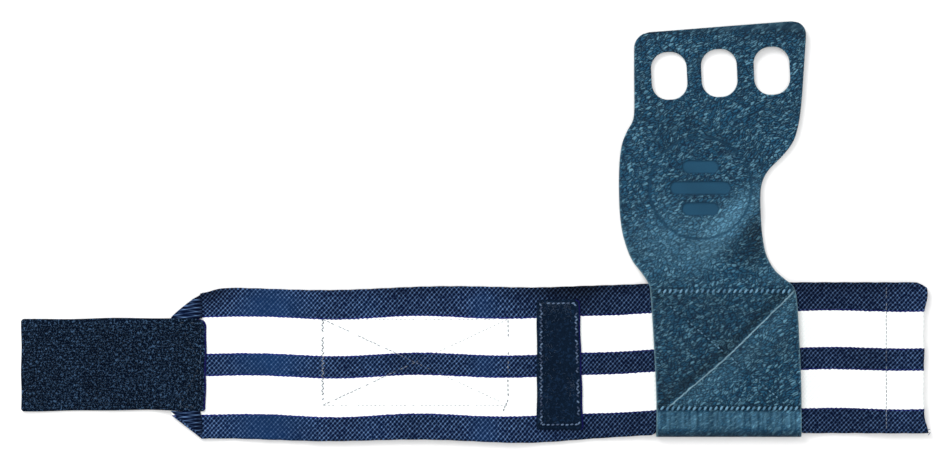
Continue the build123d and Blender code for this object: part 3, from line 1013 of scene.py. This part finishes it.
def make_wrap_stitches(materials):
    """Every row of thread on the band and its tapes."""
    thread, grey = materials["navy_thread"], materials["grey_thread"]

    def on_strip(x, y):
        """Height of the cross strip's face."""
        return face_at(x, y) + TAPE

    def on_tab(x, y):
        """Height of the hook tab's face."""
        return tab_under(x, y) + TAB_TAPE

    # border of the strip across the band
    x0, x1, y0, y1 = STRIP_LEFT + 2.0, STRIP_RIGHT - 1.2, STRIP_LOW + 2.4, STRIP_HIGH - 1.6
    size = (1.8, 0.9, 0.45)
    places = row((x0, y0), (x0, y1), 1.5, size, on_strip, 42, 0.05, 11, 1.0)
    places += row((x1, y0), (x1 - 1.6, y1), 1.5, size, on_strip, 42, 0.2, 12, 1.0)
    places += row((x0, y0), (x1, y0), 2.3, size, on_strip, 10, 0.0, 13)
    places += row((x0, y1), (x1 - 1.6, y1), 2.3, size, on_strip, 10, 0.15, 14)
    small_things("strip_stitching", places, stitch, thread, ["strip_stitches"])

    # where the hook tab is sewn to the band's end
    low, high, right, tip = TAB_LOW + 1.8, TAB_HIGH - 1.8, TAB_RIGHT - 2.0, BAND_LEFT + 4
    size = (1.9, 0.5, 0.3)
    places = []
    runs = (((right, low), (right, high)), ((tip, low), (right, low)), ((tip, high), (right, high)),
            ((tip, low), (right, -2)), ((tip, high), (right, -2)))
    for k, (a, b) in enumerate(runs):
        places += row(a, b, 2.6, size, on_tab, 0, 0.25, 21 + k)
    small_things("tab_stitching", places, stitch, materials["hooks"], ["tab_stitches"])

    # box and cross of the loop patch, showing on the band's face
    left, right = PATCH_LEFT + 2.0, PATCH_RIGHT - 2.0
    low, high = PATCH_LOW + 2.5, PATCH_HIGH - 1.5
    size = (1.6, 0.62, 0.3)
    places = row((left, low), (left, high), 1.25, size, face_at, 40, 0.12, 31, 1.0)
    places += row((right, low + 2), (right, high), 2.3, (1.5, 0.6, 0.26), face_at, 0, 0.2, 32)
    places += row((right, low + 3), (right - 2.5, low - 3), 1.6, (1.4, 0.6, 0.26), face_at, 0, 0, 33)
    # the far rows have all but sunk into the cloth
    clear, faint = (1.9, 0.42, 0.2), (1.3, 0.24, 0.14)
    middle = ((left + right) / 2, (low + high) / 2)
    runs = (((left, low), (right, low), faint), ((left, high), (right, high), faint),
            ((left, low), middle, clear), ((left, high), middle, clear),
            (middle, (right, high), faint), (middle, (right, low), faint))
    for k, (a, b, grain) in enumerate(runs):
        places += row(a, b, 2.1, grain, face_at, 0, 0.18, 34 + k)
    small_things("patch_stitching", places, stitch, grey,
                 {"patch_stitches_3": -198.0, "patch_stitches_2": -150.0, "patch_stitches_1": -112.0})

    # hem
    middle = wander(BAND_RIGHT)
    x, reach = HEM_LEFT + 0.2, HALF_BAND - 2
    places = row((x, middle - reach), (x, middle + reach), 2.0, (1.7, 0.4, 0.2), face_at, 0, 0.1, 41)
    small_things("hem_stitching", places, stitch, grey, ["hem_stitches"])

    # a tail of thread at the lower right corner
    x, y = BAND_RIGHT + 0.4, middle - HALF_BAND + 0.8
    z = face_at(BAND_RIGHT - 1, y) - 0.5
    places = [(x + 0.45 * i, y + 0.4 * i * (-1) ** i, z, 0.6 * i - 0.9, (2.2, 0.35, 0.2))
              for i in range(4)]
    small_things("thread_tail", places, stitch, thread, [], body="right_2")


BARE_SPOT, BARE_REACH = (-278, -17), 3.2
MISSING_HOOKS = 0.06
REVERSE_LOOPS, PULLED_LOOPS = 1500, 300  # how many are drawn


def make_hooks(materials):
    """The field of hooks on the tab's face, in staggered rows."""
    chance = random.Random(7)
    pitch, shake = 1.22, 0.3
    places = []
    for i in range(int((TAB_RIGHT - TAB_LEFT - 3) / pitch)):
        for j in range(int((TAB_HIGH - TAB_LOW - 2.4) / pitch)):
            x = TAB_LEFT + 1.4 + (i + 0.5 * (j % 2)) * pitch + chance.uniform(-shake, shake)
            y = TAB_LOW + 1.4 + j * pitch + chance.uniform(-shake, shake)
            # the sewn edge, and one worn spot near it, have lost theirs
            from_spot = math.hypot(x - BARE_SPOT[0], (y - BARE_SPOT[1]) * 1.1)
            bare = x > TAB_RIGHT - 1.6 or from_spot < BARE_REACH
            if bare or chance.random() < MISSING_HOOKS:
                continue
            turn = chance.uniform(-1.2, 1.2) + (j % 2) * math.pi
            places.append((x, y + tab_stray(x), tab_under(x, y) + TAB_TAPE - 0.02, turn,
                           HOOK_HEIGHT * chance.uniform(0.7, 1.0)))
    small_things("tape_hooks", places, hook, materials["hooks"], {})


def make_fibres(materials):
    """Loops standing on the reverse patch, and a few pulled ones on the strip across the band."""
    chance = random.Random(9)
    under = []
    for _ in range(REVERSE_LOOPS):
        x = chance.uniform(PATCH_LEFT + 1.5, PATCH_RIGHT - 1.5)
        y = chance.uniform(PATCH_LOW + 1.5, PATCH_HIGH - 1.5)
        under.append((x, y, band_under(x, y - wander(x)) - UNDER + 0.02, chance.uniform(0, math.pi),
                      chance.uniform(0.8, 1.5)))

    def hanging(bm, matrix, size):
        """A loop short enough to stay between the tape and the table."""
        down = Matrix.Rotation(math.pi, 4, "X") @ Matrix.Diagonal((1, 1, 0.12, 1))
        return fibre_loop(bm, matrix @ down, size)

    small_things("reverse_loops", under, hanging, materials["fibre"], {})
    pulled = []
    for _ in range(PULLED_LOOPS):
        x, y = STRIP_LEFT + 1 + abs(chance.gauss(0, 6)), chance.uniform(STRIP_LOW + 2, STRIP_HIGH - 2)
        if chance.random() < 0.55:
            x = chance.uniform(STRIP_LEFT + 1, STRIP_RIGHT - 5)
            y = STRIP_HIGH - 1 - abs(chance.gauss(0, 4))
        if chance.random() < 0.12:
            x, y = chance.gauss(STRIP_RIGHT - 5, 1.2), chance.gauss(-14, 3)
        if STRIP_LEFT + 0.8 < x < STRIP_RIGHT - 1.8 and STRIP_LOW + 1 < y < STRIP_HIGH - 0.6:
            pulled.append((x, y, face_at(x, y) + TAPE, chance.uniform(0, math.pi),
                           chance.uniform(0.6, 1.8)))

    def lying(bm, matrix, size):
        """A loop pulled over flat."""
        return fibre_loop(bm, matrix @ Matrix.Diagonal((1, 1, 0.35, 1)), size)

    small_things("strip_fuzz", pulled, lying, materials["fibre"], {})


# ---- leather -----------------------------------------------------------------------------------
# points of the outline, (height up the grip, x), from the wrist's lower edge to the finger end
LEFT_SIDE = ((-39, -35.0), (-20, -35.0), (10, -36.4), (34, -38.0), (38, -38.8), (44, -42.6),
             (50, -47.0), (59, -50.6), (68, -52.5), (80, -53.4), (98, -53.4), (110, -52.2), (117, -49.8),
             (122.5, -46.8), (127, -46.0), (145, -46.0), (180, -46.0))
RIGHT_SIDE = ((-39, 37.2), (-15, 37.0), (10, 36.0), (32, 34.6), (37, 33.0), (41, 28.2), (45, 24.0),
              (52, 20.2), (60, 18.3), (72, 17.1), (84, 17.0), (90, 18.4), (95, 21.6), (101, 28.0),
              (107, 33.0), (114, 35.6), (124, 37.2), (140, 38.4), (160, 39.6), (180, 40.2))
TOP_SLOPE = 0.075                        # the finger end and its holes tilt up to the right
FINGER_END = 166.6                       # height of the finger end at x = 0
TOP_CORNER = 7.5
ROLL_Y = -36.2                           # where the leather starts to turn round the band's lower edge
ROLL_R = 1.4
BACK_TOP = 37.0
SEAM_TOP, SEAM_BOTTOM = 34.5, -23.8
RIDGE_FOOT, RIDGE_BEND, RIDGE_HEAD = (-28.2, -22.4), (1.3, 2.8), (33.2, 34.2)
DOTTED_START, DOTTED_END = (-32.0, 30.2), (29.0, -21.8)
HOLES = ((-28.5, 142.0), (-3.5, 143.4), (22.7, 144.5))
HOLE_HALF, HOLE_CORNER, HOLE_TURN = (9.0, 12.0), 8.2, math.radians(2.8)
MARK = Vector((-13.0, 86.0))
MARK_RADIUS = 25.5
BAR_HALF = 3.2                           # half the height of each bar in the mark
BARS = ((10.5, 6.0), (0.0, 12.0), (-10.5, 6.0))   # height over the mark's middle, half length
NECK_START, NECK_END = (-5.0, 52.0), (17.0, 78.0)  # the fold that slants across the neck
NECK_LENGTH = 34.1
FAN_CORNER = (34.0, 33.0)                # folds fan out from this end of the top seam
GATHER = 1.9                             # how closely the gathers under the seams follow each other
STITCH_PITCH = 2.65


def through(points, at):
    """A smooth curve through (position, value) points."""
    i = max(0, min(len(points) - 2, sum(1 for p in points[1:] if p[0] <= at)))
    (x0, y0), (x1, y1) = points[i], points[i + 1]
    before, after = points[max(0, i - 1)], points[min(len(points) - 1, i + 2)]
    m0, m1 = (y1 - before[1]) / (x1 - before[0]), (after[1] - y0) / (after[0] - x0)
    span = x1 - x0
    t = (at - x0) / span
    return ((2 * t ** 3 - 3 * t ** 2 + 1) * y0 + (t ** 3 - 2 * t ** 2 + t) * span * m0
            + (3 * t ** 2 - 2 * t ** 3) * y1 + (t ** 3 - t ** 2) * span * m1)


def beside(start, end, x, y):
    """Distance to the right of the line from start to end."""
    run_x, run_y = end[0] - start[0], end[1] - start[1]
    return ((x - start[0]) * run_y - (y - start[1]) * run_x) / math.hypot(run_x, run_y)


def beside_ridge(x, y):
    """Distance to the right of the ridge across the wrist panel, which bends at its middle."""
    foot, head = beside(RIDGE_FOOT, RIDGE_BEND, x, y), beside(RIDGE_BEND, RIDGE_HEAD, x, y)
    return max(foot, head)


def leather_pattern(s, t):
    """The flat leather: t runs from the back panel's upper edge, round the roll, to the finger end."""
    turn = math.pi * ROLL_R
    low = ROLL_Y - turn - (BACK_TOP - ROLL_Y)
    v = low + (FINGER_END - low) * t
    side = v
    if v < ROLL_Y:
        side = ROLL_Y if v > ROLL_Y - turn else ROLL_Y + (ROLL_Y - turn - v)
    left, right = through(LEFT_SIDE, side), through(RIGHT_SIDE, side)
    from_top = FINGER_END - v
    inset = 0.0
    if from_top < TOP_CORNER:
        inset = TOP_CORNER - math.sqrt(max(0.0, TOP_CORNER ** 2 - (TOP_CORNER - from_top) ** 2))
    left, right = left + inset, right - inset
    u = left + (right - left) * s
    return u, v + TOP_SLOPE * u * ease(v, 70, 130)


def finger_hole(centre):
    """The shape of one finger hole."""
    def distance(x, y):
        """Distance to the hole's edge, below 0 inside it."""
        dx, dy = x - centre[0], y - centre[1]
        px = abs(dx * math.cos(HOLE_TURN) + dy * math.sin(HOLE_TURN)) - HOLE_HALF[0] + HOLE_CORNER
        py = abs(dy * math.cos(HOLE_TURN) - dx * math.sin(HOLE_TURN)) - HOLE_HALF[1] + HOLE_CORNER
        return math.hypot(max(px, 0), max(py, 0)) + min(max(px, py), 0) - HOLE_CORNER
    return distance


def mark_depth(u, v):
    """1 inside the pressed mark: a plain ring and three bars, 0 outside."""
    x, y = u - MARK.x, v - MARK.y
    ring = 0.75 * hill(math.hypot(x, y) - MARK_RADIUS, 0.6)
    bars = 0.0
    for offset, half in BARS:
        gap = math.hypot(max(abs(x) - half, 0), y - offset) - BAR_HALF
        bars = max(bars, ease(gap, 0.6, -0.6))
    return max(ring, bars)


def neck_fold(u, v):
    """How far a place lies across and along from the middle of the neck's fold."""
    run = Vector(NECK_END) - Vector(NECK_START)
    middle = (Vector(NECK_START) + Vector(NECK_END)) / 2
    along = ((u - middle.x) * run.x + (v - middle.y) * run.y) / NECK_LENGTH
    return beside(NECK_START, NECK_END, u, v), along


def gathers(u):
    """The uneven gathers of the strip below the lower seam, -1 to 1."""
    return math.sin(u * GATHER + 0.7 * math.sin(u * 0.37))


def in_panel(v):
    """1 between the wrist panel's two seams, 0 beyond them."""
    return ease(v, SEAM_BOTTOM - 1, SEAM_BOTTOM + 1) * ease(v, SEAM_TOP, SEAM_TOP - 2)


def leather_relief(u, v):
    """How far the sewn leather stands up or sinks in, along its face."""
    if v > 60:
        return 0.0
    rise = 0.0
    for seam, depth in ((SEAM_TOP, 0.45), (SEAM_BOTTOM, 0.55)):
        away = v - seam
        rise -= depth * hill(away, 1.1)
        # each stitch gathers a small pucker, leaning with the thread
        rise += 0.3 * math.cos(2 * math.pi * (u - 0.55 * away) / STITCH_PITCH) * hill(away, 2.0)
    below = ease(v, SEAM_BOTTOM - 1, SEAM_BOTTOM - 4) * ease(v, ROLL_Y - 1, ROLL_Y + 5)
    rise += below * (0.45 * gathers(u) + 0.2 * math.sin(u * 3.1 + v / 4))
    if SEAM_BOTTOM - 4 < v < SEAM_TOP + 1:
        away = beside_ridge(u, v)
        dotted = beside(DOTTED_START, DOTTED_END, u, v)
        stand = 0.5 * hill(away, 0.7) - 0.55 * hill(away + 2.0, 1.6) + 0.3 * math.tanh(away / 2)
        stand -= 0.4 * hill(dotted, 1.3)
        stand += 0.5 * (1 - hill(away, 7)) * (1 - hill(dotted, 7))
        # fine gathers run up from the lower seam on the right of the ridge
        stand += 0.14 * ease(away, 2, 8) * ease(v, 6, -14) * math.sin(u * GATHER + v / 6)
        rise += in_panel(v) * stand
    return rise


def leather_lie(u, v):
    """Height of the leather's middle over the table, as it lies: broad, slow bends."""
    seat = LEATHER / 2 + LEATHER_UNDERSIDE * ease(v, 53, 39.5)
    # the neck's fold is steep on its lower right
    across, along = neck_fold(u, v)
    swell = 2.7 * hill(across, 10 if across < 0 else 5.0) * hill(along, 19)
    swell += 1.2 * math.exp(-((u + 32) / 20) ** 2 - ((v - 62) / 15) ** 2)
    swell += 0.5 * (1 + math.sin(u / 17 + v / 27)) * ease(v, 60, 90)
    swell += 1.5 * ease(v, 146, 163) * (0.6 + 0.4 * math.sin(u / 14 + 1))
    # folds that fan out from the right-hand end of the top seam
    aside, above = u - FAN_CORNER[0], v - FAN_CORNER[1]
    from_corner = math.hypot(aside, above)
    bearing = math.atan2(above, aside)
    fan = hill(from_corner - 12, 8) * ease(v, 36, 41) * ease(v, 66, 50)
    swell += 0.75 * fan * math.sin(bearing * 19) + 0.5 * fan
    along_seam = ease(v, 36.3, 39) * ease(v, 50, 40)
    swell += 0.2 * along_seam * math.sin(u * 1.5 + 0.9 * math.sin(u / 5))
    return seat + swell * ease(v, 37.5, 44)


def leather_place(u, v, side):
    """Lays the flat leather down: back panel, the turn round the band's edge, then the front."""
    level = side - 0.5
    if v >= ROLL_Y:
        lie = leather_lie(u, v) + leather_relief(u, v) * (1 if side > 0.4 else 0.3)
        return Vector((u, v, lie + level * LEATHER - 0.35 * pressed_in(u, v, side)))
    turned = (ROLL_Y - v) / ROLL_R
    if turned < math.pi:
        out = Vector((0, -math.sin(turned), math.cos(turned)))
        thick = LEATHER + (UNDER - LEATHER) * turned / math.pi
        reach = ROLL_R + level * thick
        return Vector((u, ROLL_Y, LEATHER_UNDERSIDE + LEATHER / 2 - ROLL_R)) + out * reach
    back = ROLL_Y + (ROLL_Y - math.pi * ROLL_R - v)
    return Vector((u, back, UNDER / 2 + 0.02 - level * (UNDER - 0.04)))


def raw_edge(u, v, side):
    """1 on the cut edge of the leather, and a little way in beside the wrist panel."""
    if side < 0.25:
        return 0.0
    if side < 0.9:
        return 0.9
    at = max(v, ROLL_Y)
    near = min(u - through(LEFT_SIDE, at), through(RIGHT_SIDE, at) - u)
    scallop = 0.12 * math.sin(v * 2.4)
    return ease(near + scallop, 0.7, 0.15) * (0.8 if v < 60 else 0.25)


def ridge_highlight(u, v, side):
    """1 where a highlight is painted along the ridge's crest, between the two seams."""
    if side < 0.9 or not SEAM_BOTTOM < v < SEAM_TOP + 0.5:
        return 0.0
    return ease(v, SEAM_BOTTOM, SEAM_BOTTOM + 2) * hill(beside_ridge(u, v), 3)


def painted_leather_sheen(u, v, side):
    """Painted sheen, 0 to 1: light painted on the neck's fold and beside it, on the folds fanning from
    the top seam, on the gathers below the lower seam and right of the ridge.
    """
    if side < 0.9:
        return 0.0
    across, along = neck_fold(u, v)
    pale = 0.85 * hill(across + 6.5, 6.5) * hill(along, 21)
    pale += 0.35 * math.exp(-((u + 28) / 22) ** 2 - ((v - 58) / 17) ** 2)
    from_corner = math.hypot(u - FAN_CORNER[0], v - FAN_CORNER[1])
    pale += 0.4 * hill(from_corner - 11, 7) * ease(v, 36, 41) * ease(v, 62, 48)
    if v < SEAM_BOTTOM:
        streak = 0.5 + 0.5 * gathers(u) * math.sin(u * 0.83 + 1)
        below = ease(v, SEAM_BOTTOM - 0.5, SEAM_BOTTOM - 2.5) * ease(v, ROLL_Y + 1, ROLL_Y + 4)
        pale += (0.02 + 0.62 * streak) * below
    elif v < SEAM_TOP:
        pale += 0.22 * in_panel(v) * hill(beside_ridge(u, v) - 5, 6)
    return min(1.0, pale)


def painted_shade_amount(u, v, side):
    """Painted shade, 0 to 1: in the seams, over the wrist panel and most beside the ridge and the dotted
    line, on the roll round the band's edge and on the neck fold's steep slope; also darker towards the
    finger end.
    """
    if side < 0.9:
        return 0.0
    shade_amount = 0.75 * ease(v, 158, 168) + 0.7 * ease(v, ROLL_Y + 1.8, ROLL_Y - 0.5)
    if v < 60:
        shade_amount += 0.5 * hill(v - SEAM_TOP, 1.3) + 0.65 * hill(v - SEAM_BOTTOM, 1.2)
    if SEAM_BOTTOM - 4 < v < SEAM_TOP + 1:
        away = beside_ridge(u, v)
        dotted = beside(DOTTED_START, DOTTED_END, u, v)
        shade_amount += in_panel(v) * (0.14 + 0.5 * hill(away + 2.6, 3.0) + 0.18 * ease(away, 2, -6))
        shade_amount += in_panel(v) * 0.4 * hill(dotted, 1.0)
    # painted shade on the steep lower right of the neck's fold
    shade_amount += 0.85 * math.exp(-((u - 15) / 6) ** 2 - ((v - 61) / 9) ** 2)
    shade_amount += 0.45 * math.exp(-((u - 8) / 7) ** 2 - ((v - 50) / 5) ** 2)
    return min(1.0, shade_amount)


def pressed_in(u, v, side):
    """1 where the mark is pressed into the palm's face."""
    return mark_depth(u, v) if side > 0.9 and v > 50 else 0.0


def calmness(u, v, side):
    """How far the grain is stretched flat, 0 to 1: below the lower seam and at the finger end."""
    return 0.35 * ease(v, SEAM_BOTTOM, SEAM_BOTTOM - 2) + 0.6 * ease(v, 162, 167)


def flesh_side(u, v, side):
    """1 on the leather's suede underside."""
    return 1.0 if side < 0.25 else 0.0


def make_leather(materials):
    """The whole leather in one piece: back panel, rolled edge, wrist panel and palm."""
    extras = {"pressed": pressed_in, "ridge": ridge_highlight, "raw": raw_edge, "painted_shade": painted_shade_amount,
              "sheen_and_wear": painted_leather_sheen, "calm": calmness, "flesh": flesh_side}
    bm = flat_goods(124, 376, leather_pattern, leather_place, bulge=0.1,
                    holes=[finger_hole(c) for c in HOLES], extras=extras)
    piece = finish_piece("grip_leather", bm, [materials["leather"]],
                         ["palm_leather", "wrist_leather"])
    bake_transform(piece)


def make_leather_stitches(materials):
    """The thread of the wrist panel's two seams and of its dotted diagonal."""
    thread = materials["leather_thread"]

    def on_leather(x, y):
        """Height for a stitch on the leather's face."""
        return leather_place(x, y, 1.0).z + 0.15

    def seam(name, runs, pitch, size, lean, node, skip=0.0):
        """One seam of straight runs."""
        places = []
        for k, (a, b) in enumerate(runs):
            places += row(a, b, pitch, size, on_leather, lean, skip, 51 + k)
        small_things(name, places, stitch, thread, [node], body="wrist")

    plump = (2.8, 1.3, 0.58)
    seam("top_seam_thread", [((-35.0, SEAM_TOP), (32.4, SEAM_TOP))],
         STITCH_PITCH, plump, 56, "top_seam")
    seam("foot_seam_thread", [((-33.5, SEAM_BOTTOM), (36.0, SEAM_BOTTOM))],
         STITCH_PITCH, plump, 56, "bottom_seam")
    a, b = Vector(DOTTED_START), Vector(DOTTED_END)
    seam("dotted_thread", [(a, a.lerp(b, 0.5)), (a.lerp(b, 0.53), b)], 2.2, (1.3, 0.8, 0.55), 0,
         "cross_stitches", 0.15)


# ---- floor, and all of it ----------------------------------------------------------------------
def make_floor(materials):
    """A sheet of studio paper under everything."""
    bm = bmesh.new()
    bmesh.ops.create_grid(bm, x_segments=1, y_segments=1, size=4.0)
    mesh = bpy.data.meshes.new("paper_floor")
    bm.to_mesh(mesh)
    bm.free()
    floor = bpy.data.objects.new("paper_floor", mesh)
    floor.location = (0, 0, -0.0002)
    mesh.materials.append(materials["floor"])
    bpy.context.collection.objects.link(floor)


set_camera()
set_studio()
materials = make_materials()
make_floor(materials)
make_band(materials)
make_corner_folds(materials)
make_hem(materials)
make_cross_strip(materials)
make_loop_patch(materials)
make_hook_tab(materials)
make_wrap_stitches(materials)
make_hooks(materials)
make_fibres(materials)
make_leather(materials)
make_leather_stitches(materials)
